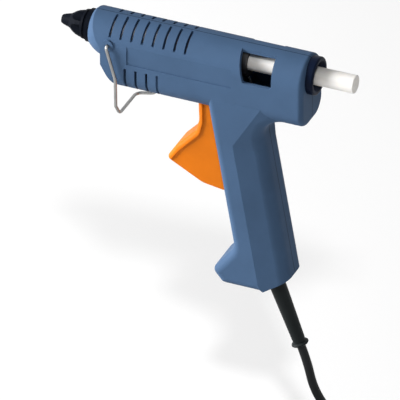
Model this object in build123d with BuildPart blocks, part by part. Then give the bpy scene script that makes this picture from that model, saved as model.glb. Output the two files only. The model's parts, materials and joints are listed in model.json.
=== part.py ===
"""Pistol glue gun: two moulded halves, heated chamber, trigger feed, wire stand and mains cord.

Millimetres. +X runs forward to the nozzle, +Y to the gun's left, +Z up.
The origin is the middle of the handle, where the hand holds it.
Places are given as (mm behind the nozzle tip, mm above the stick's axis).
"""
import os
from math import cos, pi, radians, sin, sqrt, tan

from build123d import *

os.makedirs("parts", exist_ok=True)

# Frame
tip_x = 125.4
axis_z = 85.0

# Fits
slip = 0.05
clear = 0.3

# Glue stick
stick_d = 11.2
stick_front = 80.0
stick_rear = 188.0

# Housing
half_width = 16.0
wall = 2.2
crown_up = -3.4
barrel_bottom = -31.8
barrel_corner_r = 11.0
nose_back = 21.0
nose_r = 11.2
nose_full_back = 31.0
nose_slope = -0.2
nose_overlap = 0.4
rear_back = 160.5
rear_edge_r = 3.0
chin_back = 41.0
chin_ring_back = 28.6
chin_r = 8.0
tail_bottom = -32.6

# Handle
rake = 10.0
grip_front_back = 100.0
grip_front_up = -32.0
grip_depth = 30.4
grip_ridge = 12.6
facet_angle = 15.0
grip_bottom = -150.4
toe_up = -124.4
toe_tip = (102.0, -142.3)
toe_heel_back = 109.0
toe_r = (10.0, 3.5, 4.0, 4.5)
rear_overcut = 0.6
bevel_back = 134.5
bevel_slope = 0.59
grip_front_r = 5.0
grip_rear_r = 8.0
shoulder_back = 131.3
shoulder_up = -26.4
shoulder_lean = 31.2
shoulder_r = 11.0

# Window, label panel and vents
window_back = (116.0, 140.0)
window_low_back = 122.2
window_up = (-6.1, 12.5)
window_inner = 6.0
panel_back = (48.0, 115.0)
panel_up = (-11.5, 2.0)
panel_depth = 0.5
vent_pitch = 6.9
vent_width = 1.5
top_vent_first = 36.5
top_vents = 8
top_vent_low = 3.6
top_vent_inner = 1.5
low_vent_first = 46.9
low_vents = 4
low_vent_top = -14.7
low_vent_inner = 7.0

# Rear collar
collar_d = 23.5
collar_bore = 12.4
collar_mouth = 19.0
collar_out = 4.5
collar_flange = 2.0
collar_edge_r = 1.2
collar_flare = 5.0

# Stand
stand_back = 36.0
stand_up = -1.0
stand_wire_d = 2.0
stand_ring_d = 7.0
stand_ring_root = 1.5
stand_ring_out = 0.5
stand_depth = 2.5
stand_gap = 2.6

# Trigger and feed
pivot_back = 106.0
pivot_up = -23.0
trigger_width = 21.0
trigger_rear = 6.0
trigger_hub_r = 6.0
hollow_half = 7.9
trigger_edge_r = 3.0
lip_depth = 1.0
slot_gap = 0.6
slot_front_back = 86.5
slot_up = (-24.0, -44.0, -90.5)
pivot_pin_d = 5.0
fork_reach = 17.5
fork_swing = 10.0
fork_set = 0.4
fork_half = 4.5
fork_bottom = 15.0
fork_top = 19.5
feed_pin_d = 4.0
feed_slot_gap = 0.15
carriage_back = (98.0, 121.4)
carriage_d = 18.6
carriage_bore = 12.0
carriage_keel_up = -12.5
keel_back = (100.0, 119.0)
keel_half = 8.5
keel_top = -4.0
keel_wall = (4.0, 1.0)
feed_pin_out = 0.2
jaw_pin_d = 3.0
jaw_back = 112.0
jaw_up = -10.0
jaw_width = 6.0

# Heated chamber and nozzle
nozzle_d = 11.0
nozzle_thread_d = 8.0
nozzle_thread_end = 35.0
nozzle_tip_d = 4.0
nozzle_neck_d = 6.4
nozzle_step_back = (4.0, 14.5)
nozzle_bore_d = 5.0
nozzle_cone_back = (8.0, 14.0)
outlet_d = 2.4
cover_gap = 0.1
cover_mouth_r = 2.6
cover_bead_r = 10.2
cover_bead_back = 17.8
cover_cone = [(1.6, 3.3), (5.5, 4.4), (8.1, 6.3), (10.7, 7.8), (13.9, 8.8), (15.9, 9.2), (16.4, 8.6)]
flute_count = 6
flute_out = 9.6
flute_r = 3.6
flute_back = 6.5
flute_length = 8.0
chamber_back = (27.0, 74.0)
chamber_d = 18.0
chamber_bore = 12.0
thread_relief = 0.2
throat_back = (36.0, 42.0)
throat_d = 6.0
spigot_d = 15.0
spigot_back = 82.0
block_back = (36.0, 62.0)
block_width = 16.4
block_up = (-17.0, -5.0)
pocket_up = -12.0
pocket_t = 5.2
pocket_width = 14.0
notch_top = -6.0
pack_gap = 0.1
pack_out = 1.0
heater_end = 2.0
heater_t = 2.4
heater_width = 12.0
electrode_t = 0.6
electrode_end = 1.0
tab_back = 72.0
tab_side = (4.6, 6.2)
insulation_t = 0.5
ring_back = (30.0, 66.0)
ring_width = 4.0
ring_d = 20.0
sleeve_back = (76.0, 90.0)
sleeve_d = 18.0
sleeve_lip = 11.9
sleeve_taper = (2.0, 1.2)
spigot_gap = 1.0
band_set = 2.0
band_d = 19.4
band_width = 4.0

# Screws, bosses and ribs
screw_spots = [(41.5, -22.4), (80.0, -26.0), (151.0, -24.0), (127.0, -27.0), (136.0, -108.0), (112.0, -138.0)]
screw_d = 3.0
screw_head_d = 5.6
screw_head_t = 2.4
screw_seat = 7.0
screw_end = 10.0
boss_d = 9.2
pivot_boss_d = 10.0
pivot_cover = 1.6
pin_end_gap = 0.1
rib_t = 1.6
guide_side = (3.2, 4.8)
guide_lead = 8.0

# Cord
cord_d = 5.4
exit_back = 138.2
exit_lean = 21.3
relief_d = (10.0, 7.8)
relief_length = 43.8
relief_flange_d = 16.0
relief_flange_t = 2.8
relief_seat = 3.4
relief_straight = 4.0
relief_bead_d = 10.6
relief_bead_start = 2.6
relief_bead = [(-0.4, 2.2), (0.0, 1.7), (0.0, 1.0), (-0.6, 0.4)]
clamp_run = 26.0
clamp_size = (20.0, 7.0, 2.5)
clamp_screw_gap = 13.6
clamp_screw_d = 2.6
clamp_screw_length = 12.0
clamp_head_d = 4.8
clamp_head_t = 1.8
clamp_corner_r = 3.0
lead_d = 1.6
entry_run = 40.0
cord_drift = 8.0
hank_run = 90.0
hank_fold_r = 16.5
hank_pitch = 6.1
hank_layer = 5.9
hank_layers = 4
hank_tail = (8.0, 38.0)
tie_gap = 0.3
tie_t = 0.8
tie_width = 5.0
plug_size = (26.0, 13.7, 20.0)
plug_tail = 14.0
plug_neck_d = 8.4
plug_corner_r = 5.0
plug_edge_r = 1.0
plug_seat = 8.0
plug_pin_edge = 0.8
plug_pin_d = 4.0
plug_root_d = 3.6
plug_root = 10.0
plug_pin_length = 19.0
plug_pin_gap = 18.6

# Return spring
spring_up = -56.0
spring_seat_back = 132.5
spring_pad = 5.0
spring_pad_t = 8.0
spring_back = (112.9, 131.6)
spring_r = 3.5
spring_wire = 1.0
spring_turns = 6

BARREL = Axis((tip_x, 0, axis_z), (1, 0, 0))
pivot_pin_half = half_width - pivot_cover


def at(back, up=0.0):
    return (tip_x - back, axis_z + up)


def around(back, up, corners):
    """Outline corners given from a place."""
    return [(back + along, up + above, radius) for along, above, radius in corners]


def spot(back, up=0.0, side=0.0):
    return (tip_x - back, side, axis_z + up)


def across(back):
    return Plane(origin=spot(back), x_dir=(0, -1, 0), z_dir=(-1, 0, 0))


def outline(corners, inset=0.0):
    """Side face from (back, up, radius) corners, moved in by inset."""
    points = [at(back, up) for back, up, radius in corners]
    with BuildSketch(Plane.XZ) as face:
        with BuildLine():
            Polyline(*points, close=True)
        make_face()
        if inset:
            offset(amount=-inset, kind=Kind.INTERSECTION)
        for point, corner in zip(points, corners):
            if corner[2]:
                fillet(face.vertices().sort_by_distance((*point, 0))[0], corner[2])
    return face.sketch


def turned(profile):
    """Solid of revolution round the stick's axis from (back, radius) corners."""
    with BuildPart() as form:
        with BuildSketch(Plane.XZ):
            with BuildLine():
                Polyline(*[at(back, radius) for back, radius in profile], close=True)
            make_face()
        revolve(axis=BARREL)
    return form.part


# Housing form

def barrel_form(inset):
    chin = [
        (nose_back - 5, 30, 0),
        (rear_back + 20, 30, 0),
        (rear_back + 20, barrel_bottom - 20, 0),
        (chin_back + 6, barrel_bottom - 20, 0),
        (chin_back, barrel_bottom - 1, 0),
        (chin_ring_back, -nose_r, chin_r),
        (nose_back - 5, -nose_r, 0),
    ]
    width = half_width - inset
    floor = barrel_bottom + inset
    with BuildPart() as form:
        with BuildSketch(across(nose_back + inset)) as section:
            with BuildLine():
                CenterArc((0, crown_up), width, 0, 180)
                Polyline((width, crown_up), (width, floor), (-width, floor), (-width, crown_up))
            make_face()
            fillet(section.vertices().group_by(Axis.Y)[0], barrel_corner_r - inset)
        extrude(amount=rear_back - nose_back - 2 * inset)
        fillet(form.faces().sort_by(Axis.X)[0].edges(), rear_edge_r)
        extrude(outline(chin, inset), amount=2 * half_width, both=True, mode=Mode.INTERSECT)
        start = at(nose_back + inset, nose_r - inset)
        end = at(nose_full_back, half_width - inset + nose_overlap)
        with BuildSketch(Plane.XZ):
            with BuildLine():
                TangentArc(end, start, tangent=(1, nose_slope))
                Polyline(
                    end,
                    at(nose_full_back, 60),
                    at(rear_back + 5, 60),
                    at(rear_back + 5),
                    at(nose_back + inset),
                    start,
                )
            make_face()
        revolve(axis=BARREL, mode=Mode.INTERSECT)
    return form.part


def grip_plane():
    lean = radians(rake)
    return Plane(
        origin=spot(grip_front_back, grip_front_up),
        x_dir=(-cos(lean), 0, sin(lean)),
        z_dir=(-sin(lean), 0, -cos(lean)),
    )


def front_line(up):
    return grip_front_back + (grip_front_up - up) * tan(radians(rake))


def rear_line(up):
    return front_line(up) + grip_depth / cos(radians(rake))


def grip_form(inset):
    """Handle: raked prism with rear facets, cut to its side outline with the forward toe."""
    narrow = half_width - (grip_depth - grip_ridge) * tan(radians(facet_angle))
    toe = [
        (front_line(-20), -20, 0),
        (front_line(toe_up), toe_up, toe_r[0]),
        (*toe_tip, toe_r[1]),
        (toe_heel_back, grip_bottom, toe_r[2]),
        (rear_line(grip_bottom) + rear_overcut, grip_bottom, toe_r[3]),
        (rear_line(-20) + rear_overcut, -20, 0),
    ]
    bevel = [
        (50, 0, 0),
        (50, grip_bottom - 40, 0),
        (bevel_back - 40 / bevel_slope, grip_bottom - 40, 0),
        (bevel_back + 50 / bevel_slope, grip_bottom + 50, 0),
        (bevel_back + 50 / bevel_slope, 0, 0),
    ]
    with BuildPart() as form:
        with BuildSketch(grip_plane().offset(-20)) as section:
            with BuildLine():
                Polyline(
                    (-30, -half_width),
                    (grip_ridge, -half_width),
                    (grip_depth, -narrow),
                    (grip_depth, narrow),
                    (grip_ridge, half_width),
                    (-30, half_width),
                    close=True,
                )
            make_face()
            if inset:
                offset(amount=-inset, kind=Kind.INTERSECTION)
            fillet(section.vertices().group_by(Axis.X)[-1], grip_rear_r)
        extrude(amount=170)
        extrude(outline(toe, inset), amount=2 * half_width, both=True, mode=Mode.INTERSECT)
        front = [
            edge
            for edge in form.edges()
            if abs(abs(edge.center().Y) - half_width + inset) < 0.01
            and grip_plane().to_local_coords(edge.center()).X < grip_ridge - 2
            and edge.center().Z < axis_z - 21
        ]
        fillet(front, grip_front_r - inset)
        extrude(outline(bevel, inset), amount=2 * half_width, both=True, mode=Mode.INTERSECT)
    return form.part


def shoulder_form(inset):
    """Web between the tail and the handle, with the slanted facet on each side."""
    lean = radians(shoulder_lean)
    set_back = grip_front_r + 4
    web = [
        (front_line(-22) + set_back, -22, 0),
        (front_line(-75) + set_back, -75, 0),
        (rear_line(-75), -75, 0),
        (rear_line(tail_bottom), tail_bottom, shoulder_r),
        (rear_back - 2 * rear_edge_r, tail_bottom, 0),
        (rear_back - 2 * rear_edge_r, -22, 0),
    ]
    reach = 45
    with BuildPart() as form:
        slant = Plane(
            origin=spot(shoulder_back, shoulder_up),
            x_dir=(-cos(lean), 0, -sin(lean)),
            z_dir=(sin(lean), 0, -cos(lean)),
        )
        deep = half_width - reach * tan(radians(facet_angle))
        with BuildSketch(slant.offset(-reach)):
            with BuildLine():
                Polyline(
                    (-reach, -half_width),
                    (0, -half_width),
                    (reach, -deep),
                    (reach, deep),
                    (0, half_width),
                    (-reach, half_width),
                    close=True,
                )
            make_face()
            if inset:
                offset(amount=-inset, kind=Kind.INTERSECTION)
        extrude(amount=3 * reach)
        extrude(outline(web, inset), amount=2 * half_width, both=True, mode=Mode.INTERSECT)
        fillet(form.edges().filter_by(GeomType.ELLIPSE), grip_rear_r - inset)
    return form.part


def housing_form(inset):
    with BuildPart() as form:
        add(barrel_form(inset))
        add(grip_form(inset))
        add(shoulder_form(inset))
    return form.part


# Cord line through the handle's bottom

def cord_plane(run):
    """Plane square to the cord, run mm past the place where it leaves the handle."""
    lean = radians(exit_lean)
    back = exit_back + run * sin(lean)
    up = grip_bottom - run * cos(lean)
    return Plane(origin=spot(back, up), x_dir=(0, 1, 0), z_dir=(-sin(lean), 0, -cos(lean)))


def rod(plane, diameter, length):
    with BuildPart() as form:
        with BuildSketch(plane):
            Circle(diameter / 2)
        extrude(amount=length)
    return form.part


def cross_rod(back, up, diameter, from_side, to_side):
    """Cylinder across the gun between two sides."""
    return rod(
        Plane(origin=spot(back, up, from_side), x_dir=(1, 0, 0), z_dir=(0, 1, 0)),
        diameter,
        to_side - from_side,
    )


def slab(corners, from_side, to_side):
    """Plate across the gun from a side outline of (back, up, radius) corners."""
    with BuildPart() as form:
        extrude(outline(corners).moved(Location((0, from_side, 0))), amount=from_side - to_side)
    return form.part


def block(back, up, side):
    """Box between two backs, two heights and two sides."""
    corners = [(back[0], up[0], 0), (back[1], up[0], 0), (back[1], up[1], 0), (back[0], up[1], 0)]
    return slab(corners, *side)


def tube_along(points, diameter, radii):
    """Round wire or cord along straight runs joined by tangent arcs."""
    with BuildPart() as form:
        with BuildLine() as path:
            FilletPolyline(*points, radius=radii)
        wire = path.wires()[0]
        with BuildSketch(Plane(origin=wire @ 0, z_dir=wire % 0)):
            Circle(diameter / 2)
        sweep(path=wire)
    print("tube", round(form.part.volume / (pi * diameter**2 / 4), 1), round(wire.length, 1))
    return form.part


def free_radii(points):
    """Largest even bend at each corner of a cord's route."""
    spots = [Vector(*point) for point in points]
    radii = []
    for before, here, after in zip(spots, spots[1:], spots[2:]):
        turn = radians((here - before).get_angle(after - here))
        shorter = min((here - before).length, (after - here).length)
        radii.append(0.45 * shorter / tan(turn / 2))
    return radii


def biarcs(points, tangents):
    """Pairs of tangent arcs through points with given directions, for wound forms."""
    arcs = []
    for start, end, leave, arrive in zip(points, points[1:], tangents, tangents[1:]):
        span = end - start
        both = leave + arrive
        spread = 2 * (1 - leave.dot(arrive))
        if spread < 1e-9:
            reach = span.dot(span) / (2 * span.dot(both))
        else:
            root = sqrt(span.dot(both) ** 2 + spread * span.dot(span))
            reach = (root - span.dot(both)) / spread
        middle = (start + end + (leave - arrive) * reach) * 0.5
        across_way = ((end - arrive * reach) - (start + leave * reach)).normalized()
        arcs.append((start, middle, leave))
        arcs.append((middle, end, across_way))
    return arcs


# Housing halves

rear_wall_back = rear_back - wall
window = [
    (window_back[0], window_up[1] + 8, 0),
    (window_back[1], window_up[1] + 8, 0),
    (window_back[1] + 0.7, window_up[0], 1.5),
    (window_low_back, window_up[0], 1.5),
]
trigger_half = trigger_width / 2
fork_side = (carriage_d / 2 - fork_set, trigger_half)
slot_half = trigger_half + slot_gap
slot_top, slot_knee, slot_bottom = slot_up
trigger_slot = [
    (slot_front_back, slot_top, 0),
    (slot_front_back, barrel_bottom - 6, 0),
    (front_line(slot_knee) - 6, slot_knee, 0),
    (front_line(slot_bottom) - 6, slot_bottom, 0),
    (front_line(slot_bottom) + wall + 2, slot_bottom, 0),
    (front_line(slot_knee) + wall + 2, slot_knee, 0),
    (front_line(slot_top) + wall + 8, slot_top, 0),
]


def disc(back, width, diameter):
    """Cylinder on the stick's axis."""
    radius = diameter / 2
    return turned([(back, 0), (back + width, 0), (back + width, radius), (back, radius)])


def shell_cuts():
    """Openings through the walls, and room beside them for the chamber and its rings."""
    cuts = [
        disc(chamber_back[0], chamber_back[1] - chamber_back[0], chamber_d + 2 * slip),
        disc(nose_back - 8, 20, nozzle_d + 2 * clear),
        disc(rear_back - 8, 16, collar_d + 2 * slip),
        slab(trigger_slot, -slot_half, slot_half),
        rod(cord_plane(-7), relief_d[0] + 2 * slip, 14),
    ]
    cuts += [disc(back, ring_width, ring_d + 2 * slip) for back in ring_back]
    for sign in (1, -1):
        far = sign * 30
        cuts.append(slab(window, sign * window_inner, far))
        cuts.append(block(panel_back, panel_up, (sign * (half_width - panel_depth), far)))
        cuts.append(cross_rod(stand_back, stand_up, stand_wire_d + 2 * slip, *sorted((sign * 8, far))))
        for i in range(top_vents):
            back = top_vent_first + i * vent_pitch - vent_width / 2
            cuts.append(block((back, back + vent_width), (top_vent_low, 20), (sign * top_vent_inner, far)))
        for i in range(low_vents):
            back = low_vent_first + i * vent_pitch - vent_width / 2
            low = (barrel_bottom - 5, low_vent_top)
            cuts.append(block((back, back + vent_width), low, (sign * low_vent_inner, far)))
    return cuts


def rib(back, thickness, hole_d):
    """Cross wall inside the barrel with a round seat and a notch for the leads."""
    with BuildPart() as form:
        add(barrel_form(wall / 2))
        add(block((back, back + thickness), (-40, 40), (-30, 30)), mode=Mode.INTERSECT)
        add(disc(back - 1, thickness + 2, hole_d), mode=Mode.SUBTRACT)
        notch_side = (-pocket_width / 2, pocket_width / 2)
        notch_up = (block_up[0], notch_top)
        add(block((back - 1, back + thickness + 1), notch_up, notch_side), mode=Mode.SUBTRACT)
    return form.part


def half_fittings(sign):
    """Bosses, ribs and seats moulded on the inside of one half."""
    far = sign * 30
    guide = (carriage_back[0] - guide_lead, carriage_back[1])
    seat = (spring_seat_back, spring_seat_back + spring_pad_t)
    bosses = [cross_rod(back, up, boss_d, *sorted((0, far))) for back, up in screw_spots]
    pivot_ends = sorted((sign * (trigger_half + clear), far))
    bosses.append(cross_rod(pivot_back, pivot_up, pivot_boss_d, *pivot_ends))
    seat_up = (spring_up - spring_pad, spring_up + spring_pad)
    bosses.append(block(seat, seat_up, sorted((0, sign * spring_pad))))
    guide_ends = sorted((sign * guide_side[0], sign * guide_side[1]))
    bosses.append(block(guide, (carriage_d / 2 - 2, 20), guide_ends))
    with BuildPart() as form:
        add(bosses)
        add(housing_form(wall / 2), mode=Mode.INTERSECT)
        add(disc(guide[0] - 1, 40, carriage_d + 2 * clear), mode=Mode.SUBTRACT)
    with BuildPart() as fittings:
        add(form.part)
        for back in ring_back:
            add(rib(back, ring_width, ring_d + 2 * slip))
        add(rib(sleeve_back[1] - 4, rib_t, sleeve_d + 2 * clear))
        split(bisect_by=Plane.XZ, keep=Keep.BOTTOM if sign > 0 else Keep.TOP)
    return fittings.part


def clamp_plane(side):
    """Plane across the gun at the cord clamp, x along the bar and y along the cord."""
    middle = cord_plane(-clamp_run)
    lean = radians(exit_lean)
    return Plane(
        origin=(middle.origin.X, side, middle.origin.Z),
        x_dir=(-cos(lean), 0, sin(lean)),
        z_dir=(0, 1, 0),
    )


def clamp_posts():
    """Two screw posts and the anvil under the cord, on the right half."""
    with BuildPart() as form:
        with BuildSketch(clamp_plane(cord_d / 2)):
            with Locations((-clamp_screw_gap / 2, 0), (clamp_screw_gap / 2, 0)):
                Circle(clamp_size[1] / 2 - 0.5)
        extrude(amount=-30)
        with BuildSketch(clamp_plane(-cord_d / 2 - slip)):
            Rectangle(clamp_screw_gap, clamp_size[1] - 2)
        extrude(amount=-30)
        add(housing_form(wall / 2), mode=Mode.INTERSECT)
        with BuildSketch(clamp_plane(10)):
            with Locations((-clamp_screw_gap / 2, 0), (clamp_screw_gap / 2, 0)):
                Circle(clamp_screw_d / 2 + slip)
        extrude(amount=-20, mode=Mode.SUBTRACT)
    return form.part


def housing_half(sign):
    with BuildPart() as half:
        add(housing_form(0))
        add(housing_form(wall), mode=Mode.SUBTRACT)
        split(bisect_by=Plane.XZ, keep=Keep.BOTTOM if sign > 0 else Keep.TOP)
        ring_ends = (sign * (half_width - stand_ring_root), sign * (half_width + stand_ring_out))
        add(cross_rod(stand_back, stand_up, stand_ring_d, *sorted(ring_ends)))
        add(shell_cuts(), mode=Mode.SUBTRACT)
        add(half_fittings(sign))
        pin_reach = pivot_pin_half + pin_end_gap
        holes = [cross_rod(pivot_back, pivot_up, pivot_pin_d + 2 * slip, -pin_reach, pin_reach)]
        for back, up in screw_spots:
            holes.append(cross_rod(back, up, screw_d + 2 * slip, -screw_end, screw_end + 0.5))
            if sign < 0:
                holes.append(cross_rod(back, up, screw_head_d + 2 * clear, -30, -screw_seat))
        add(holes, mode=Mode.SUBTRACT)
        if sign < 0:
            add(clamp_posts())
    return half.part


with BuildPart() as housing_left:
    add(housing_half(1))
housing_left.part.label = "housing_left"
export_step(housing_left.part, "parts/housing_left.step")

with BuildPart() as housing_right:
    add(housing_half(-1))
housing_right.part.label = "housing_right"
export_step(housing_right.part, "parts/housing_right.step")


# Screws that close the housing

def slot_screw(plane, diameter, head_d, head_t, length):
    """Slotted screw: the plane lies under its head, z along its shaft."""
    with BuildPart() as form:
        with BuildSketch(plane.offset(-head_t)):
            Circle(head_d / 2)
        extrude(amount=head_t)
        with BuildSketch(plane):
            Circle(diameter / 2)
        extrude(amount=length)
        with BuildSketch(plane.offset(-head_t)):
            Rectangle(head_d * 0.8, 0.8)
        extrude(amount=head_t / 2, mode=Mode.SUBTRACT)
    return form.part


with BuildPart() as housing_screws:
    for back, up in screw_spots:
        seat = Plane(origin=spot(back, up, -screw_seat), x_dir=(1, 0, 0), z_dir=(0, 1, 0))
        add(slot_screw(seat, screw_d, screw_head_d, screw_head_t, screw_seat + screw_end))
housing_screws.part.label = "housing_screws"
export_step(housing_screws.part, "parts/housing_screws.step")

# Rear collar: a plate behind the rear wall and the flared inlet outside it

plate_back = rear_wall_back - slip - collar_flange
collar_end = rear_back + collar_out
with BuildPart() as rear_collar:
    add(barrel_form(wall + slip))
    plate_box = block((plate_back, plate_back + collar_flange), (-40, 40), (-30, 30))
    add(plate_box, mode=Mode.INTERSECT)
    add(disc(plate_back, collar_end - plate_back, collar_d))
    fillet(rear_collar.edges().group_by(Axis.X)[0].sort_by(SortBy.RADIUS)[-1], collar_edge_r)
    mouth = [(plate_back - 1, 0), (plate_back - 1, collar_bore / 2)]
    mouth.append((collar_end - collar_flare, collar_bore / 2))
    mouth += [(collar_end, collar_mouth / 2), (collar_end + 1, collar_mouth / 2), (collar_end + 1, 0)]
    add(turned(mouth), mode=Mode.SUBTRACT)
rear_collar.part.label = "rear_collar"
export_step(rear_collar.part, "parts/rear_collar.step")

# Nozzle and its fluted cover

with BuildPart() as nozzle:
    neck_back, step_back = nozzle_step_back
    add(turned([
        (0, outlet_d / 2),
        (0, nozzle_tip_d / 2),
        (neck_back, nozzle_tip_d / 2),
        (neck_back, nozzle_neck_d / 2),
        (step_back, nozzle_neck_d / 2),
        (step_back, nozzle_d / 2),
        (chamber_back[0], nozzle_d / 2),
        (chamber_back[0], nozzle_thread_d / 2),
        (nozzle_thread_end, nozzle_thread_d / 2),
        (nozzle_thread_end, nozzle_bore_d / 2),
        (nozzle_cone_back[1], nozzle_bore_d / 2),
        (nozzle_cone_back[0], outlet_d / 2),
    ]))
nozzle.part.label = "nozzle"
export_step(nozzle.part, "parts/nozzle.step")

with BuildPart() as nozzle_cover:
    cover_end = nose_back - clear
    tip_bore = nozzle_tip_d / 2 + slip
    neck_bore = nozzle_neck_d / 2 + slip
    body_bore = nozzle_d / 2 + slip
    outside = [(0, tip_bore), (0, cover_mouth_r), *cover_cone, (cover_bead_back, cover_cone[-1][1])]
    outside += [(cover_bead_back, cover_bead_r), (cover_end, cover_bead_r)]
    inside = [(cover_end, body_bore), (step_back - cover_gap, body_bore), (step_back - cover_gap, neck_bore)]
    inside += [(neck_back - cover_gap, neck_bore), (neck_back - cover_gap, tip_bore)]
    add(turned(outside + inside))
    flutes = []
    for i in range(flute_count):
        angle = 2 * pi * (i + 0.5) / flute_count
        centre = spot(flute_back, flute_out * cos(angle), flute_out * sin(angle))
        flutes.append(rod(Plane(origin=centre, x_dir=(0, 1, 0), z_dir=(-1, 0, 0)), 2 * flute_r, flute_length))
    add(flutes, mode=Mode.SUBTRACT)
nozzle_cover.part.label = "nozzle_cover"
export_step(nozzle_cover.part, "parts/nozzle_cover.step")

# Melt chamber, heater pack, rings, inlet sleeve and its band

with BuildPart() as melt_chamber:
    front, back_end = chamber_back
    add(turned([
        (front, 0),
        (front, chamber_d / 2),
        (back_end, chamber_d / 2),
        (back_end, spigot_d / 2),
        (spigot_back, spigot_d / 2),
        (spigot_back, 0),
    ]))
    add(block(block_back, block_up, (-block_width / 2, block_width / 2)))
    bore = [
        (front - 1, 0),
        (front - 1, nozzle_thread_d / 2 + slip),
        (nozzle_thread_end + thread_relief, nozzle_thread_d / 2 + slip),
        (throat_back[0], throat_d / 2),
        (throat_back[1], chamber_bore / 2),
        (spigot_back + 1, chamber_bore / 2),
        (spigot_back + 1, 0),
    ]
    add(turned(bore), mode=Mode.SUBTRACT)
    pocket = (pocket_up - pocket_t / 2, pocket_up + pocket_t / 2)
    pocket_side = (-pocket_width / 2, pocket_width / 2)
    add(block((block_back[0] - 1, block_back[1] + 1), pocket, pocket_side), mode=Mode.SUBTRACT)
melt_chamber.part.label = "melt_chamber"
export_step(melt_chamber.part, "parts/melt_chamber.step")

with BuildPart() as heater_insulation:
    pack = (block_back[0] - pack_out, block_back[1] + pack_out)
    high = pocket_t / 2 - pack_gap
    wide = pocket_width / 2 - pack_gap
    add(block(pack, (pocket_up - high, pocket_up + high), (-wide, wide)))
    high -= insulation_t
    wide -= insulation_t
    tunnel = block((pack[0] - 1, pack[1] + 1), (pocket_up - high, pocket_up + high), (-wide, wide))
    add(tunnel, mode=Mode.SUBTRACT)
heater_insulation.part.label = "heater_insulation"
export_step(heater_insulation.part, "parts/heater_insulation.step")

with BuildPart() as heater_element:
    thick = (pocket_up - heater_t / 2, pocket_up + heater_t / 2)
    heated = (block_back[0] + heater_end, block_back[1] - heater_end)
    add(block(heated, thick, (-heater_width / 2, heater_width / 2)))
heater_element.part.label = "heater_element"
export_step(heater_element.part, "parts/heater_element.step")

with BuildPart() as heater_electrodes:
    strip = (block_back[0] + electrode_end, block_back[1] + electrode_end)
    for sign in (1, -1):
        near = pocket_up + sign * (heater_t / 2 + slip)
        thick = sorted((near, near + sign * electrode_t))
        add(block(strip, thick, (-heater_width / 2, heater_width / 2)))
        add(block((block_back[1], tab_back), thick, sorted((sign * tab_side[0], sign * tab_side[1]))))
heater_electrodes.part.label = "heater_electrodes"
export_step(heater_electrodes.part, "parts/heater_electrodes.step")


def hoop(back, width, outer_d, inner_d):
    """Ring on the stick's axis."""
    with BuildPart() as form:
        add(disc(back, width, outer_d))
        add(disc(back - 1, width + 2, inner_d), mode=Mode.SUBTRACT)
    return form.part


with BuildPart() as chamber_ring_front:
    add(hoop(ring_back[0], ring_width, ring_d, chamber_d + 2 * slip))
chamber_ring_front.part.label = "chamber_ring_front"
export_step(chamber_ring_front.part, "parts/chamber_ring_front.step")

with BuildPart() as chamber_ring_rear:
    add(hoop(ring_back[1], ring_width, ring_d, chamber_d + 2 * slip))
chamber_ring_rear.part.label = "chamber_ring_rear"
export_step(chamber_ring_rear.part, "parts/chamber_ring_rear.step")

with BuildPart() as inlet_sleeve:
    front, back_end = sleeve_back
    grip_bore = spigot_d / 2 + slip
    add(turned([
        (front, grip_bore),
        (front, sleeve_d / 2),
        (back_end - sleeve_taper[0], sleeve_d / 2),
        (back_end, sleeve_d / 2 - sleeve_taper[1]),
        (back_end, sleeve_lip / 2),
        (spigot_back + spigot_gap, sleeve_lip / 2),
        (spigot_back + spigot_gap, grip_bore),
    ]))
inlet_sleeve.part.label = "inlet_sleeve"
export_step(inlet_sleeve.part, "parts/inlet_sleeve.step")

with BuildPart() as sleeve_band:
    add(hoop(sleeve_back[0] + band_set, band_width, band_d, sleeve_d + 2 * slip))
sleeve_band.part.label = "sleeve_band"
export_step(sleeve_band.part, "parts/sleeve_band.step")

# Trigger with its feed fork, turning on a pin between the halves

finger = around(pivot_back, pivot_up, [
    (-15.0, -6.0, 2), (-14.5, -20.2, 8), (-16.4, -28.0, 8), (-29.5, -42.0, 8), (-35.4, -51.2, 2.5),
    (-12.0, -63.5, 12), (3.0, -65.8, 1.5), (trigger_rear, -39.0, 4), (trigger_rear, 3.0, 3), (-7.0, 3.0, 3),
])
hollow = around(pivot_back, pivot_up, [
    (-10.0, -15.0, 2), (-10.5, -29.0, 3), (-24.0, -43.0, 2), (-27.5, -50.2, 1), (-11.0, -59.5, 1),
    (trigger_rear + 2, -61.5, 0), (trigger_rear + 2, -15.0, 0),
])
recess = around(pivot_back, pivot_up, [
    (-11.6, -7.0, 0), (-11.4, -20.8, 8), (-13.7, -29.8, 8), (-27.0, -44.0, 6), (-30.8, -49.6, 1.5),
    (-35.0, -57.0, 0), (-11.0, -72.0, 0), (14.0, -72.0, 0), (14.0, -7.0, 0),
])


def fork_spot(reach, offset_back):
    """Place on the fork: reach from the pivot, offset to its rear side."""
    lean = radians(fork_swing)
    back = pivot_back + reach * sin(lean) + offset_back * cos(lean)
    up = pivot_up + reach * cos(lean) - offset_back * sin(lean)
    return (back, up, 0)


feed_half = feed_pin_d / 2 + feed_slot_gap
prong = [fork_spot(0, -fork_half), fork_spot(0, fork_half), fork_spot(fork_top, fork_half)]
prong += [fork_spot(fork_top, feed_half), fork_spot(fork_bottom, feed_half)]
prong += [fork_spot(fork_bottom, -feed_half), fork_spot(fork_top, -feed_half)]
prong.append(fork_spot(fork_top, -fork_half))

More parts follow.
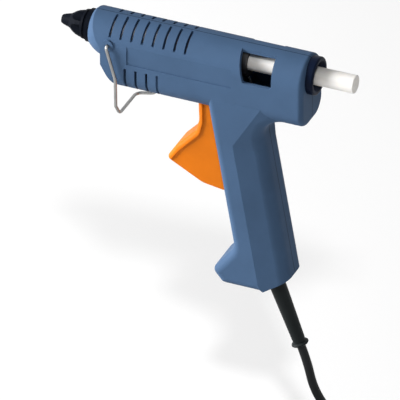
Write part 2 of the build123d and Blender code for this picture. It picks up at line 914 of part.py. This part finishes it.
with BuildPart() as trigger:
    add(slab(finger, -trigger_half, trigger_half))
    rims = [
        edge
        for edge in trigger.edges()
        if abs(abs(edge.center().Y) - trigger_half) < 0.01
        and edge.center().Z < axis_z + grip_front_up
        and edge.center().X > at(pivot_back + 2)[0]
    ]
    fillet(rims, trigger_edge_r)
    sides = [slab(recess, trigger_half - lip_depth, 20), slab(recess, -20, lip_depth - trigger_half)]
    sides.append(slab(hollow, -hollow_half, hollow_half))
    add(sides, mode=Mode.SUBTRACT)
    pad = (pivot_back + trigger_rear - spring_pad_t, pivot_back + trigger_rear)
    add(block(pad, (spring_up - spring_pad, spring_up + spring_pad), (-hollow_half, hollow_half)))
    add(cross_rod(pivot_back, pivot_up, 2 * trigger_hub_r, -trigger_half, trigger_half))
    add(slab(prong, *fork_side))
    add(slab(prong, -fork_side[1], -fork_side[0]))
    add(cross_rod(pivot_back, pivot_up, pivot_pin_d + 2 * slip, -20, 20), mode=Mode.SUBTRACT)
trigger.part.label = "trigger"
export_step(trigger.part, "parts/trigger.step")

with BuildPart() as trigger_pin:
    add(cross_rod(pivot_back, pivot_up, pivot_pin_d, -pivot_pin_half, pivot_pin_half))
trigger_pin.part.label = "trigger_pin"
export_step(trigger_pin.part, "parts/trigger_pin.step")

# Feed carriage, its jaw and jaw pin, and the stick

feed_pin = fork_spot(fork_reach, 0)
with BuildPart() as feed_carriage:
    front, back_end = carriage_back
    add(disc(front, back_end - front, carriage_d))
    add(block(keel_back, (carriage_keel_up, keel_top), (-keel_half, keel_half)))
    feed_pin_half = fork_side[1] + feed_pin_out
    add(cross_rod(feed_pin[0], feed_pin[1], feed_pin_d, -feed_pin_half, feed_pin_half))
    cuts = [disc(front - 1, back_end - front + 2, carriage_bore)]
    jaw_slot = jaw_width / 2 + clear
    jaw_room = (keel_back[0] + keel_wall[0], keel_back[1] - keel_wall[1])
    cuts.append(block(jaw_room, (carriage_keel_up - 7.5, keel_top), (-jaw_slot, jaw_slot)))
    cuts.append(cross_rod(jaw_back, jaw_up, jaw_pin_d + 2 * slip, -20, 20))
    add(cuts, mode=Mode.SUBTRACT)
feed_carriage.part.label = "feed_carriage"
export_step(feed_carriage.part, "parts/feed_carriage.step")

with BuildPart() as grip_jaw:
    jaw = around(jaw_back, jaw_up, [
        (-5.4, 3.85, 0.4), (-3.6, 3.85, 0), (-3.0, 3.0, 0), (-2.0, 3.5, 0), (-1.4, 2.6, 0),
        (3.0, 2.2, 1), (3.0, -2.2, 1), (-2.5, -2.2, 1), (-5.0, 0.5, 1),
    ])
    add(slab(jaw, -jaw_width / 2, jaw_width / 2))
    add(cross_rod(jaw_back, jaw_up, jaw_pin_d + 2 * slip, -20, 20), mode=Mode.SUBTRACT)
grip_jaw.part.label = "grip_jaw"
export_step(grip_jaw.part, "parts/grip_jaw.step")

with BuildPart() as jaw_pin:
    add(cross_rod(jaw_back, jaw_up, jaw_pin_d, pin_end_gap - keel_half, keel_half - pin_end_gap))
jaw_pin.part.label = "jaw_pin"
export_step(jaw_pin.part, "parts/jaw_pin.step")

with BuildPart() as glue_stick:
    add(disc(stick_front, stick_rear - stick_front, stick_d))
    chamfer(glue_stick.edges(), 0.3)
glue_stick.part.label = "glue_stick"
export_step(glue_stick.part, "parts/glue_stick.step")


# Wound forms

def wound(spots, ways, diameter):
    """One tube through spots with given directions, straight for one diameter at both ends."""
    spots = [Vector(*spot_here) for spot_here in spots]
    ways = [Vector(*way).normalized() for way in ways]
    lead_in = spots[0] - ways[0] * diameter
    run_out = spots[-1] + ways[-1] * diameter
    with BuildPart() as form:
        with BuildLine() as path:
            Line(lead_in, spots[0])
            for start, end, way in biarcs(spots, ways):
                if way.cross(end - start).length < 1e-6:
                    Line(start, end)
                else:
                    TangentArc(start, end, tangent=way)
            Line(spots[-1], run_out)
        with BuildSketch(Plane(origin=lead_in, z_dir=ways[0])):
            Circle(diameter / 2)
        wire = path.wires()[0]
        sweep(path=wire)
    print("wound", round(form.part.volume / (pi * diameter**2 / 4), 1), round(wire.length, 1))
    return form.part, wire


def least_gap(line, diameter, skip):
    """Smallest gap between turns of a wound tube, measured on points along it."""
    count = int(line.length)
    marks = [line @ (i / count) for i in range(count + 1)]
    gap = min((b - a).length for i, a in enumerate(marks) for b in marks[i + skip:])
    return round(gap - diameter, 2)


# Return spring behind the trigger

spots = []
ways = []
for i in range(4 * spring_turns + 1):
    turn = i / 4
    angle = 2 * pi * turn
    back = spring_back[0] + (spring_back[1] - spring_back[0]) * turn / spring_turns
    spots.append(spot(back, spring_up + spring_r * sin(angle), spring_r * cos(angle)))
    climb = (spring_back[1] - spring_back[0]) / spring_turns
    ways.append((-climb, -2 * pi * spring_r * sin(angle), 2 * pi * spring_r * cos(angle)))
with BuildPart() as trigger_spring:
    spring_form, spring_line = wound(spots, ways, spring_wire)
    add(spring_form)
trigger_spring.part.label = "trigger_spring"
export_step(trigger_spring.part, "parts/trigger_spring.step")
print("spring gap", least_gap(spring_line, spring_wire, 12))

# Wire stand, its two ends turning in the housing sides

stand_end = half_width - stand_depth
stand_side = half_width + stand_gap
stand_points = [
    (0.0, 0.0, stand_end),
    (0.0, 0.0, stand_side),
    (6.0, -21.0, stand_side),
    (4.4, -42.0, 14.5),
    (5.8, -48.0, 12.0),
    (5.8, -48.0, -13.0),
    (16.8, -46.7, -15.0),
    (19.5, -42.0, -stand_side),
    (0.0, 0.0, -stand_side),
    (0.0, 0.0, -stand_end),
]
stand_radii = [2.0, 6, 4, 4, 4, 4, 4, 2.0]
with BuildPart() as stand_wire:
    places = [spot(stand_back + back, stand_up + up, side) for back, up, side in stand_points]
    add(tube_along(places, stand_wire_d, stand_radii))
stand_wire.part.label = "stand_wire"
export_step(stand_wire.part, "parts/stand_wire.step")

# Cord clamp, its screws and the leads to the heater

with BuildPart() as cord_clamp:
    with BuildSketch(clamp_plane(cord_d / 2 + slip)):
        RectangleRounded(clamp_size[0], clamp_size[1], clamp_corner_r)
        with Locations((-clamp_screw_gap / 2, 0), (clamp_screw_gap / 2, 0)):
            Circle(clamp_screw_d / 2 + slip, mode=Mode.SUBTRACT)
    extrude(amount=clamp_size[2])
cord_clamp.part.label = "cord_clamp"
export_step(cord_clamp.part, "parts/cord_clamp.step")

with BuildPart() as cord_clamp_screws:
    top = clamp_plane(cord_d / 2 + slip + clamp_size[2])
    for sign in (1, -1):
        centre = top.from_local_coords((sign * clamp_screw_gap / 2, 0, 0))
        seat = Plane(origin=centre, x_dir=(1, 0, 0), z_dir=(0, -1, 0))
        add(slot_screw(seat, clamp_screw_d, clamp_head_d, clamp_head_t, clamp_screw_length))
cord_clamp_screws.part.label = "cord_clamp_screws"
export_step(cord_clamp_screws.part, "parts/cord_clamp_screws.step")


def lead(sign):
    tab_up = pocket_up + sign * (heater_t / 2 + slip + electrode_t / 2)
    end = cord_plane(-entry_run - 0.6).origin
    points = [
        (tab_back + 0.4, tab_up, sum(tab_side) / 2), (78, -13.2, 5.7), (89, -13.6, 6.0), (95.5, -15.5, 12.2),
        (113, -15.5, 12.2), (119, -30, 12.0), (124, -46, 11.2), (128.5, -60, 9.0), (132.0, -74, 6.5),
        (132.8, -86, 4.8), (128.4, -98, 2.8),
    ]
    places = [spot(back, up, sign * side) for back, up, side in points]
    places.append((end.X, sign * 1.3, end.Z))
    return tube_along(places, lead_d, 8)


with BuildPart() as lead_live:
    add(lead(1))
lead_live.part.label = "lead_live"
export_step(lead_live.part, "parts/lead_live.step")

with BuildPart() as lead_neutral:
    add(lead(-1))
lead_neutral.part.label = "lead_neutral"
export_step(lead_neutral.part, "parts/lead_neutral.step")

# Strain relief and the cord

with BuildPart() as strain_relief:
    middle = cord_plane(0)
    relief_bore = cord_d / 2 + slip
    flange_low = -wall - relief_seat
    flange_top = flange_low - relief_flange_t
    relief_profile = [
        (relief_bore, flange_top),
        (relief_flange_d / 2, flange_top),
        (relief_flange_d / 2, flange_low),
        (relief_d[0] / 2, flange_low),
        (relief_d[0] / 2, relief_straight),
        (relief_d[1] / 2, relief_length - relief_bead_start),
    ]
    relief_profile += [(relief_bead_d / 2 + out, relief_length - run) for out, run in relief_bead]
    relief_profile += [(relief_d[1] / 2, relief_length), (relief_bore, relief_length)]
    facing = (-middle.z_dir).cross(Vector(0, 1, 0))
    with BuildSketch(Plane(origin=middle.origin, x_dir=(0, 1, 0), z_dir=facing)):
        with BuildLine():
            Polyline(*relief_profile, close=True)
        make_face()
    revolve(axis=Axis(middle.origin, middle.z_dir))
strain_relief.part.label = "strain_relief"
export_step(strain_relief.part, "parts/strain_relief.step")

with BuildPart() as cord_entry:
    add(rod(cord_plane(-entry_run), cord_d, entry_run + relief_length))
cord_entry.part.label = "cord_entry"
export_step(cord_entry.part, "parts/cord_entry.step")

relief_end = cord_plane(relief_length).origin
route = [(relief_end.X, 0, relief_end.Z)]
runs = [
    (12, exit_lean, 0), (18, 12.5, 0), (18, 28, 0.3), (12, 46, 0.65), (12, 64, 0.95), (12, 80, 1), (8, 90, 1),
]
for length, lean, drift in runs:
    x, y, z = route[-1]
    route.append((x - length * sin(radians(lean)), -cord_drift * drift, z - length * cos(radians(lean))))
route_radii = free_radii(route)
print("cord radii", [round(radius, 1) for radius in route_radii])
with BuildPart() as cord_free:
    add(tube_along(route, cord_d, route_radii))
cord_free.part.label = "cord_free"
export_step(cord_free.part, "parts/cord_free.step")

# Spare length: a tied hank of flat folds in layers, wound in and out by turns

hank_x = route[-1][0] - cord_d
hank_y = route[-1][1]
hank_z = route[-1][2]
hank_low = hank_z - (hank_layers - 1) * hank_layer
hank_inner = hank_pitch + 2 * hank_fold_r
hank_outer = hank_inner + hank_pitch
folds = [hank_outer, hank_pitch, hank_inner, hank_pitch, hank_outer, 0.0]
folds += folds[:5]
plug_z = hank_low - cord_d / 2 - tie_gap - tie_t + plug_size[1] / 2
hank_spots = []
hank_ways = []
side = 0.0
for i, landing in enumerate(folds):
    end_x = hank_x + hank_run * (i % 2)
    way = -1 if i % 2 == 0 else 1
    z = hank_z - hank_layer * (i // 3)
    across_y = 1 if landing > side else -1
    middle_y = hank_y + (side + landing) / 2
    hank_spots.append((end_x, hank_y + side, z))
    hank_spots.append((end_x + way * abs(landing - side) / 2, middle_y, z))
    hank_spots.append((end_x, hank_y + landing, z))
    hank_ways += [(way, 0, 0), (0, across_y, 0), (-way, 0, 0)]
    side = landing
for reach, z in zip(hank_tail, (hank_low, plug_z)):
    hank_spots.append((hank_x + hank_run + reach, hank_y + side, z))
    hank_ways.append((1, 0, 0))
with BuildPart() as cord_hank:
    hank_form, hank_line = wound(hank_spots, hank_ways, cord_d)
    add(hank_form)
cord_hank.part.label = "cord_hank"
export_step(cord_hank.part, "parts/cord_hank.step")
print("hank gap", least_gap(hank_line, cord_d, 60))

with BuildPart() as cord_tie:
    tie_middle = (hank_x + hank_run / 2, hank_y + hank_outer / 2, (hank_z + hank_low) / 2)
    tie_wide = hank_outer + cord_d + 2 * tie_gap
    tie_high = hank_z - hank_low + cord_d + 2 * tie_gap
    with BuildSketch(Plane(origin=tie_middle, x_dir=(0, 1, 0), z_dir=(1, 0, 0))):
        RectangleRounded(tie_wide + 2 * tie_t, tie_high + 2 * tie_t, 2.4)
        RectangleRounded(tie_wide, tie_high, 1.6, mode=Mode.SUBTRACT)
    extrude(amount=tie_width / 2, both=True)
cord_tie.part.label = "cord_tie"
export_step(cord_tie.part, "parts/cord_tie.step")

plug_start = hank_spots[-1][0] + cord_d
plug_y = hank_spots[-1][1]
plug_face = plug_start + plug_tail + plug_size[2]


def plug_plane(x, side=0.0):
    return Plane(origin=(x, plug_y + side, plug_z), x_dir=(0, 1, 0), z_dir=(1, 0, 0))


with BuildPart() as plug_body:
    with BuildSketch(plug_plane(plug_start)):
        Circle(plug_neck_d / 2)
    with BuildSketch(plug_plane(plug_start + plug_tail)):
        RectangleRounded(plug_size[0], plug_size[1], plug_corner_r)
    loft()
    with BuildSketch(plug_plane(plug_start + plug_tail)):
        RectangleRounded(plug_size[0], plug_size[1], plug_corner_r)
    extrude(amount=plug_size[2])
    fillet(plug_body.faces().sort_by(Axis.X)[-1].edges(), plug_edge_r)
    for sign in (1, -1):
        hole = plug_plane(plug_face - plug_seat, sign * plug_pin_gap / 2)
        add(rod(hole, plug_root_d + 2 * slip, plug_seat + 2), mode=Mode.SUBTRACT)
plug_body.part.label = "plug_body"
export_step(plug_body.part, "parts/plug_body.step")

with BuildPart() as plug_pins:
    for sign in (1, -1):
        seated = plug_seat - pin_end_gap
        start = plug_plane(plug_face - seated, sign * plug_pin_gap / 2)
        add(rod(start, plug_root_d, plug_root + seated))
        bare = plug_plane(plug_face + plug_root, sign * plug_pin_gap / 2)
        add(rod(bare, plug_pin_d, plug_pin_length - plug_root))
    chamfer(plug_pins.edges().group_by(Axis.X)[-1], plug_pin_edge)
plug_pins.part.label = "plug_pins"
export_step(plug_pins.part, "parts/plug_pins.step")
print("plug", [round(v, 2) for v in (plug_face, plug_y, plug_z, hank_x, hank_y, hank_z)])
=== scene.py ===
"""Looks for the glue gun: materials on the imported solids, the cord, a pale floor, lights and camera.

The cord's route is worked out in millimetres, as in the part's source. Blender's own values are metres.
"""
import json
from math import cos, pi, radians, sin

import bpy
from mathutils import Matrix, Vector


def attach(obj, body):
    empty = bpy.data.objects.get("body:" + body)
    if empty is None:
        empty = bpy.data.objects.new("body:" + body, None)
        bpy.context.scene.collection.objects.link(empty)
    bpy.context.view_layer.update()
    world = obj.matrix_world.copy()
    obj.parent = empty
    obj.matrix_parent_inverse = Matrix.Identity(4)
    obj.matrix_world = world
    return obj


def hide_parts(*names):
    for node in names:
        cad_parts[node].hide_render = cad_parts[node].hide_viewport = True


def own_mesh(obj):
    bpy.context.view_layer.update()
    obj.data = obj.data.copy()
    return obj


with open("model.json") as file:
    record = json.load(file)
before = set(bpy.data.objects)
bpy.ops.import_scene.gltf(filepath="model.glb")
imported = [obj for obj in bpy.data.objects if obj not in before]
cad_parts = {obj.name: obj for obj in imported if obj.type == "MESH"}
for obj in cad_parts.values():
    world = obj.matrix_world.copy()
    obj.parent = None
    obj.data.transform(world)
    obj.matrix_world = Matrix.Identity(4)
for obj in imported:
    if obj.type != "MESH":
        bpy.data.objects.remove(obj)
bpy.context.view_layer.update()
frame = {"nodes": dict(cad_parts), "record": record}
nodes = frame["nodes"]
scene = bpy.context.scene
scene.view_settings.view_transform = "Standard"

MM = 0.001
MICRON = 0.000001


# Node helpers

def srgb(red, green, blue):
    """Linear colour from 0-255 display values."""
    def linear(value):
        value /= 255
        return value / 12.92 if value <= 0.04045 else ((value + 0.055) / 1.055) ** 2.4
    return (linear(red), linear(green), linear(blue), 1.0)


def shade(colour, factor):
    """The colour made darker or lighter, kept within white."""
    return tuple(min(1.0, c * factor) for c in colour[:3]) + (1.0,)


class Maker:
    """One material with its shader, and short calls for adding nodes."""

    # The part of a noise's range in which most of its values lie
    NOISE_LOW = 0.3
    NOISE_HIGH = 0.7

    def __init__(self, name):
        self.material = bpy.data.materials.new(name)
        self.material.use_nodes = True
        self.tree = self.material.node_tree
        self.shader = self.tree.nodes["Principled BSDF"]
        self.place = self.add("ShaderNodeTexCoord").outputs["Object"]

    def add(self, kind, **values):
        node = self.tree.nodes.new(kind)
        for key, value in values.items():
            setattr(node, key, value)
        return node

    def link(self, output, target):
        self.tree.links.new(output, target)

    def set(self, **values):
        """Plain values for the shader's inputs, named with underscores for spaces."""
        for key, value in values.items():
            self.shader.inputs[key.replace("_", " ")].default_value = value

    def feed(self, name, output):
        """One of the shader's inputs from a node."""
        self.link(output, self.shader.inputs[name])

    def noise(self, scale, detail=2.0, roughness=0.5, stretch=None):
        """Noise over the piece, drawn out along the axes whose stretch is small."""
        node = self.add("ShaderNodeTexNoise")
        node.inputs["Scale"].default_value = scale
        node.inputs["Detail"].default_value = detail
        node.inputs["Roughness"].default_value = roughness
        place = self.place
        if stretch:
            mapping = self.add("ShaderNodeMapping")
            mapping.inputs["Scale"].default_value = stretch
            self.link(self.place, mapping.inputs["Vector"])
            place = mapping.outputs["Vector"]
        self.link(place, node.inputs["Vector"])
        return node.outputs["Fac"]

    def tint(self, noise, colour, low, high):
        """The colour wandering between two shades of itself."""
        node = self.add("ShaderNodeValToRGB")
        ends = ((self.NOISE_LOW, low), (self.NOISE_HIGH, high))
        for element, (position, factor) in zip(node.color_ramp.elements, ends):
            element.position = position
            element.color = shade(colour, factor)
        self.link(noise, node.inputs["Fac"])
        return node.outputs["Color"]

    def span(self, noise, ends):
        """A value wandering between two ends."""
        node = self.add("ShaderNodeMapRange")
        node.inputs["To Min"].default_value, node.inputs["To Max"].default_value = ends
        self.link(noise, node.inputs["Value"])
        return node.outputs["Result"]

    def middle_line(self, ground, colour, width):
        """A thin line of another colour where the piece meets the plane Y = 0."""
        axes = self.add("ShaderNodeSeparateXYZ")
        self.link(self.place, axes.inputs[0])
        away = self.add("ShaderNodeMath", operation="ABSOLUTE")
        self.link(axes.outputs["Y"], away.inputs[0])
        inside = self.add("ShaderNodeMath", operation="LESS_THAN")
        inside.inputs[1].default_value = width / 2
        self.link(away.outputs[0], inside.inputs[0])
        mix = self.add("ShaderNodeMix", data_type="RGBA")
        self.link(inside.outputs[0], mix.inputs["Factor"])
        self.link(ground, mix.inputs["A"])
        mix.inputs["B"].default_value = colour
        return mix.outputs["Result"]

    def bump(self, height, depth):
        """Fine relief of the given depth in micrometres."""
        node = self.add("ShaderNodeBump")
        node.inputs["Distance"].default_value = depth * MICRON
        self.link(height, node.inputs["Height"])
        self.feed("Normal", node.outputs["Normal"])


def seen_rays(tree):
    """One for rays from the camera, a mirror or clear stuff, nothing for the rest."""
    path = tree.nodes.new("ShaderNodeLightPath")
    total = path.outputs["Is Camera Ray"]
    for name in ("Is Glossy Ray", "Is Transmission Ray"):
        larger = tree.nodes.new("ShaderNodeMath")
        larger.operation = "MAXIMUM"
        tree.links.new(total, larger.inputs[0])
        tree.links.new(path.outputs[name], larger.inputs[1])
        total = larger.outputs[0]
    return total


# Materials

PLAIN_SHEEN = 0.5
SEAM_WIDTH = 0.5 * MM
SEAM_SHADE = 0.3


def moulded(name, colour, grain, depth, rough, sheen=PLAIN_SHEEN, seam=False):
    """Moulded plastic or rubber: cloudy colour, fine skin, uneven gloss, and a parting line if asked."""
    m = Maker(name)
    ground = m.tint(m.noise(scale=38, detail=4.0, roughness=0.6), colour, low=0.93, high=1.07)
    if seam:
        ground = m.middle_line(ground, shade(colour, SEAM_SHADE), SEAM_WIDTH)
    m.feed("Base Color", ground)
    skin = m.noise(grain, detail=3.0, roughness=0.6)
    m.feed("Roughness", m.span(m.noise(scale=60, detail=3.0), rough))
    m.bump(skin, depth)
    m.set(Specular_IOR_Level=sheen)
    return m.material


def metal(name, colour, rough, stretch, grain=900, depth=20):
    """Metal with drawn or turned lines along the axes whose stretch is small."""
    m = Maker(name)
    lines = m.noise(grain, stretch=stretch)
    m.feed("Base Color", m.tint(lines, colour, low=0.85, high=1.1))
    m.feed("Roughness", m.span(lines, rough))
    m.bump(lines, depth)
    m.set(Metallic=1.0)
    return m.material


def waxy(name, colour, rough, depth):
    """Hot-melt glue: slightly see-through wax with soft drag lines along it."""
    m = Maker(name)
    streaks = m.noise(scale=420, detail=4.0, roughness=0.6, stretch=(0.05, 1.0, 1.0))
    m.feed("Base Color", m.tint(streaks, colour, low=0.88, high=1.02))
    m.feed("Roughness", m.span(m.noise(scale=220, detail=3.0, stretch=(0.08, 1.0, 1.0)), rough))
    m.bump(m.noise(scale=300, stretch=(0.06, 1.0, 1.0)), depth)
    m.set(Subsurface_Weight=0.35, Subsurface_Radius=(1.0, 0.95, 0.85), Subsurface_Scale=4 * MM)
    return m.material


BLUE = srgb(70, 94, 124)
NAVY = srgb(12, 22, 42)
COVER_BLACK = srgb(11, 15, 23)
RELIEF_BLACK = srgb(20, 25, 26)
CORD_BLACK = srgb(19, 21, 23)
CARRIAGE_BLACK = srgb(15, 16, 20)
ORANGE = srgb(212, 112, 10)
CERAMIC = srgb(150, 142, 132)
AMBER = srgb(172, 112, 40)
RING_BROWN = srgb(58, 40, 38)
SLEEVE_WHITE = srgb(205, 200, 190)
TIE_GREY = srgb(46, 46, 48)
WAX = srgb(255, 250, 245)
BRASS = srgb(205, 170, 100)
CAST = srgb(190, 190, 194)
STRIP = srgb(205, 200, 180)
PLATED = srgb(190, 190, 192)
WIRE_GREY = srgb(152, 152, 151)
NICKEL = srgb(205, 200, 185)

# Lines drawn along X, shorter ones, lines turned about X, lines drawn along Z, and a skin with no direction
ALONG_X = (0.1, 1.0, 1.0)
SHORT_X = (0.2, 1.0, 1.0)
TURNED = (1.0, 0.1, 0.1)
ALONG_Z = (1.0, 1.0, 0.05)
EVEN = (1.0, 1.0, 1.0)

looks = {
    "housing": moulded("housing_plastic", BLUE, 2600, 50, (0.48, 0.58), 0.05, seam=True),
    "collar": moulded("collar_plastic", NAVY, 2200, 30, (0.36, 0.46), 0.05),
    "cover": moulded("cover_plastic", COVER_BLACK, 1500, 60, (0.5, 0.62), 0.03),
    "carriage_plastic": moulded("carriage_plastic", CARRIAGE_BLACK, 1800, 30, (0.4, 0.5)),
    "trigger_plastic": moulded("trigger_plastic", ORANGE, 2600, 40, (0.44, 0.54), 0.12),
    "ceramic": moulded("heater_ceramic", CERAMIC, 1400, 50, (0.6, 0.75)),
    "film": moulded("heater_film", AMBER, 700, 20, (0.2, 0.3)),
    "silicone": moulded("silicone", RING_BROWN, 1100, 50, (0.5, 0.62)),
    "lead_sleeve": moulded("lead_sleeve", SLEEVE_WHITE, 1700, 100, (0.7, 0.85)),
    "relief": moulded("relief_rubber", RELIEF_BLACK, 1300, 60, (0.45, 0.58), 0.14),
    "cord": moulded("cord_sheath", CORD_BLACK, 1300, 50, (0.42, 0.54), 0.2),
    "tie": moulded("tie_strap", TIE_GREY, 1300, 60, (0.5, 0.6)),
    "plug": moulded("plug_plastic", CORD_BLACK, 1500, 50, (0.4, 0.5)),
    "glue": waxy("glue_wax", WAX, (0.28, 0.45), 60),
    "nozzle_metal": metal("nozzle_brass", BRASS, (0.25, 0.4), TURNED),
    "chamber_metal": metal("chamber_cast", CAST, (0.45, 0.6), EVEN, 400, 60),
    "electrode": metal("electrode_strip", STRIP, (0.25, 0.4), ALONG_X),
    "steel": metal("plated_steel", PLATED, (0.25, 0.4), SHORT_X),
    "stand_steel": metal("stand_wire_steel", WIRE_GREY, (0.3, 0.42), ALONG_Z),
    "pin_metal": metal("pin_nickel", NICKEL, (0.15, 0.25), ALONG_X),
}
for row in frame["record"]["subparts"]:
    mesh = nodes[row["node"]].data
    mesh.materials.clear()
    mesh.materials.append(looks[row["material_slot"]])

# Return spring: a copy of its solid with a mesh of its own, carried with the housing

spring = bpy.data.objects.new("return_spring", nodes["trigger_spring"].data.copy())
scene.collection.objects.link(spring)
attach(spring, "housing")
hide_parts("trigger_spring")
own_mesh(spring)

# Cord: from the strain relief's end down to the put-away hank, and from there to the plug

TIP_X = 125.4
AXIS_Z = 85.0
EXIT_BACK = 138.2
GRIP_BOTTOM = -150.4
RELIEF_LENGTH = 43.8
FLOOR_Z = -188.03
PLUG_RISE = 6.85
CORD_D = 5.4
LEAN = 21.3
DRIFT = 8.0
# The seen run and its turn to the hank: length, lean from straight down, share of the sideways drift
RUNS = (
    (12, LEAN, 0), (18, 12.5, 0), (18, 28, 0.3), (12, 46, 0.65), (12, 64, 0.95), (12, 80, 1), (8, 90, 1),
)
HANK_RUN = 90.0
HANK_PITCH = 6.1
HANK_LAYER = 5.9
HANK_LAYERS = 4
LAYER_FOLDS = 3
HANK_FOLD_R = 16.5
FOLD_STEPS = 6
# Where a run goes down to the next layer, as shares of its length
STEP_DOWN = (0.25, 0.75)
# The tail past the hank's end: where it leaves the hank's level and reaches the plug's
TAIL_START = 8.0
TAIL_LEAVES = 15.5
TAIL_LANDS = 30.5
TAIL_END = 38.0
CORD_ROUNDNESS = 5
CORD_STEPS = 6

lean = radians(LEAN)
relief_end = (
    TIP_X - EXIT_BACK - RELIEF_LENGTH * sin(lean),
    0.0,
    AXIS_Z + GRIP_BOTTOM - RELIEF_LENGTH * cos(lean),
)
route = [relief_end]
for length, slope, share in RUNS:
    x, y, z = route[-1]
    route.append((x - length * sin(radians(slope)), -DRIFT * share, z - length * cos(radians(slope))))
hank_x, hank_y, hank_z = route[-1][0] - CORD_D, route[-1][1], route[-1][2]
hank_end = hank_x + HANK_RUN
hank_low = hank_z - (HANK_LAYERS - 1) * HANK_LAYER
plug_z = FLOOR_Z + PLUG_RISE


def fold(end_x, way, start_y, landing_y, height):
    """One half turn of the hank, as points round the outside of the bend."""
    radius = (landing_y - start_y) / 2 / cos(pi / 2 / FOLD_STEPS)
    middle_y = hank_y + (start_y + landing_y) / 2
    angles = [pi * (i + 0.5) / FOLD_STEPS for i in range(FOLD_STEPS)]
    return [(end_x + way * abs(radius) * sin(a), middle_y - radius * cos(a), height) for a in angles]


inner = HANK_PITCH + 2 * HANK_FOLD_R
outer = inner + HANK_PITCH
landings = [outer, HANK_PITCH, inner, HANK_PITCH, outer, 0.0, outer, HANK_PITCH, inner, HANK_PITCH, outer]
points = list(route)
side = 0.0
for i, landing in enumerate(landings):
    way = -1 if i % 2 == 0 else 1
    layer, place = divmod(i, LAYER_FOLDS)
    height = hank_z - HANK_LAYER * layer
    if layer and place == 0:
        for share, level in zip(STEP_DOWN, (height + HANK_LAYER, height)):
            along = share if way > 0 else 1 - share
            points.append((hank_x + HANK_RUN * along, hank_y + side, level))
    points += fold(hank_x + HANK_RUN * (i % 2), way, side, landing, height)
    side = landing
tail = [(TAIL_START, hank_low), (TAIL_LEAVES, hank_low)]
tail += [(reach, plug_z) for reach in (TAIL_LANDS, TAIL_END, TAIL_END + CORD_D)]
points += [(hank_end + reach, hank_y + side, height) for reach, height in tail]

line = bpy.data.curves.new("mains_cord", "CURVE")
line.dimensions = "3D"
line.bevel_depth = CORD_D / 2 * MM
line.bevel_resolution = CORD_ROUNDNESS
line.use_fill_caps = True
spline = line.splines.new("NURBS")
spline.points.add(len(points) - 1)
for control, (x, y, z) in zip(spline.points, points):
    control.co = (x * MM, y * MM, z * MM, 1.0)
spline.order_u = 3
spline.use_endpoint_u = True
spline.resolution_u = CORD_STEPS
line.materials.append(looks["cord"])
cord = bpy.data.objects.new("mains_cord", line)
scene.collection.objects.link(cord)
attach(cord, "housing")
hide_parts("cord_free", "cord_hank")

# Floor: pale, lifted to white for the camera and mirrors, keeping the shadow

WHITE = (1, 1, 1, 1)
FLOOR_SIZE = 8.0
FLOOR_LIFT = 0.15

bpy.ops.mesh.primitive_plane_add(size=FLOOR_SIZE, location=(0, 0, FLOOR_Z * MM))
floor = bpy.context.object
floor.name = "floor"
pale = Maker("floor_pale")
pale.feed("Base Color", pale.tint(pale.noise(scale=3.0), WHITE, low=0.86, high=0.88))
pale.set(Roughness=0.9, Specular_IOR_Level=0.1, Emission_Color=WHITE)
lift = pale.add("ShaderNodeMath", operation="MULTIPLY")
lift.inputs[1].default_value = FLOOR_LIFT
pale.link(seen_rays(pale.tree), lift.inputs[0])
pale.feed("Emission Strength", lift.outputs[0])
floor.data.materials.append(pale.material)

# World: a little even light, white to the camera and mirrors

WORLD_LIGHT = 0.05
WORLD_SEEN = 1.0

world = bpy.data.worlds.new("studio")
scene.world = world
world.use_nodes = True
sky = world.node_tree
background = sky.nodes["Background"]
background.inputs["Color"].default_value = WHITE
level = sky.nodes.new("ShaderNodeMapRange")
level.inputs["To Min"].default_value = WORLD_LIGHT
level.inputs["To Max"].default_value = WORLD_SEEN
sky.links.new(seen_rays(sky), level.inputs["Value"])
sky.links.new(level.outputs["Result"], background.inputs["Strength"])

# Lamps: a broad key low at the front left, and a small one high at the rear left for the floor's shadow

LAMP_DISTANCE = 4.0
LIT_POINT = Vector((0.03, 0.0, 0.02))


def softbox(name, direction, size, power):
    """A square lamp that faces the gun from the given direction."""
    lamp = bpy.data.lights.new(name, "AREA")
    lamp.shape = "SQUARE"
    lamp.size = size
    lamp.energy = power
    box = bpy.data.objects.new(name, lamp)
    scene.collection.objects.link(box)
    way = Vector(direction).normalized()
    box.location = LIT_POINT + way * LAMP_DISTANCE
    box.rotation_euler = way.to_track_quat("Z", "Y").to_euler()


softbox("key", direction=(0.88, 0.31, 0.36), size=2.0, power=335.0)
softbox("shadow", direction=(-0.27, 0.57, 0.776), size=0.34, power=41.0)

# Camera at the photograph's angle and scale

AZIMUTH = 203.3
ELEVATION = 32.5
DISTANCE = 6.0
PHOTO_PIXELS = 400
PIXELS_PER_MM = 1.68
SENSOR_MM = 36.0
CLIP_START = 0.05
VIEW_MIDDLE = (36.9, 0.0, -20.3)

azimuth = radians(AZIMUTH)
elevation = radians(ELEVATION)
back = Vector((sin(azimuth) * cos(elevation), -cos(azimuth) * cos(elevation), sin(elevation)))
span = PHOTO_PIXELS / PIXELS_PER_MM * MM
lens = bpy.data.cameras.new("camera")
lens.sensor_width = SENSOR_MM
lens.lens = SENSOR_MM * DISTANCE / span
lens.clip_start = CLIP_START
camera = bpy.data.objects.new("camera", lens)
scene.collection.objects.link(camera)
camera.location = Vector(VIEW_MIDDLE) * MM + back * DISTANCE
camera.rotation_euler = (-back).to_track_quat("-Z", "Y").to_euler()
scene.camera = camera
